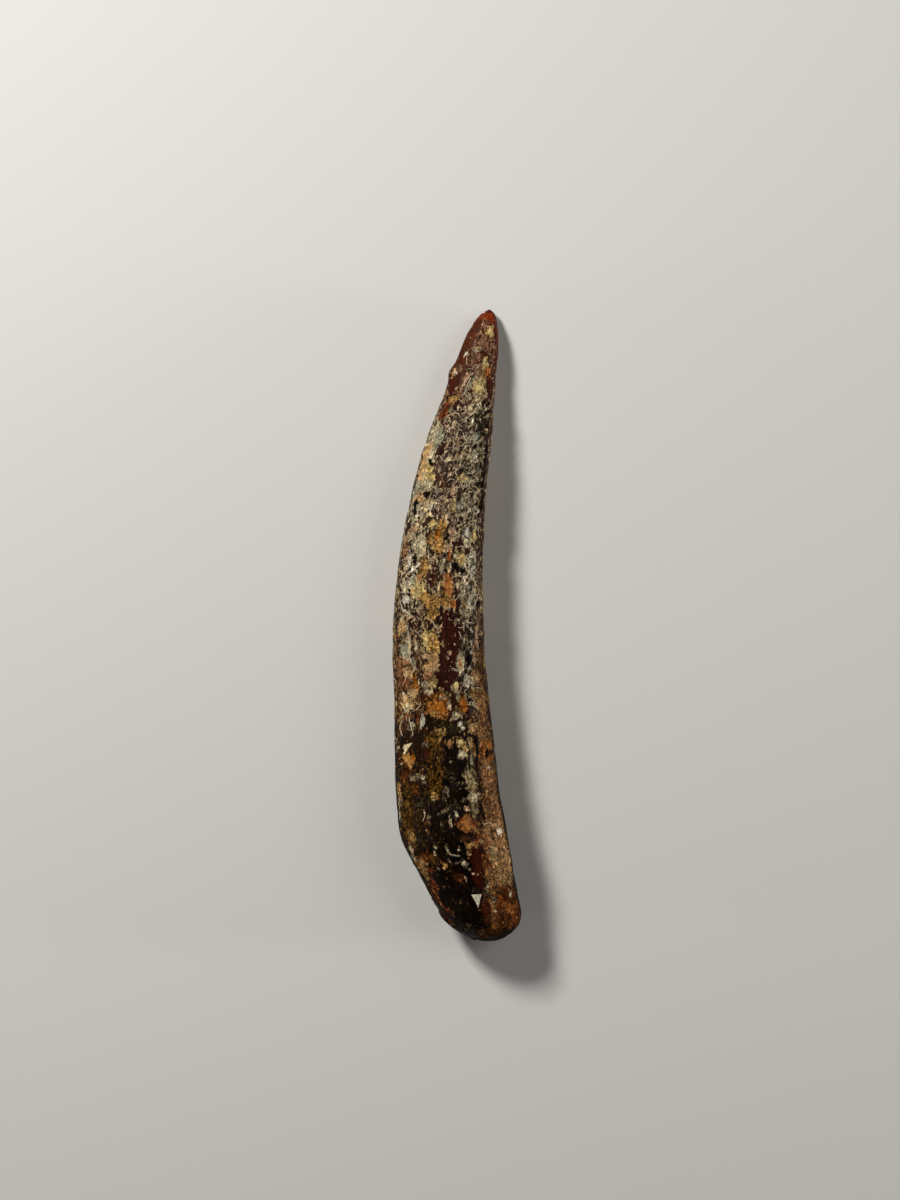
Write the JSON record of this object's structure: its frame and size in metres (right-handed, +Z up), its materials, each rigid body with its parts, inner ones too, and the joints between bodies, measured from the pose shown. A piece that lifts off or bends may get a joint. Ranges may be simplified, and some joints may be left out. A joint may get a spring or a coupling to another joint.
{
  "type": "fossil pterosaur tooth",
  "caption": "Long, slightly curved fossil reptile tooth with its root, patched with cemented sediment, lying on its flank.",
  "frame": {"origin": "on the surface that the tooth lies on, under the middle of its bounding box", "axes": "+Y from the root's end towards the tip, +X towards the hollow side of the curve, +Z up from the surface it lies on"},
  "size_m": [0.0112, 0.0552, 0.0075],
  "materials": {
    "fossil_tooth": "satin dark plum and red-brown enamel with matt cream, ochre and rust sediment"
  },
  "bodies": {
    "root": {"tooth": "fossil_tooth"}
  },
  "joints": []
}
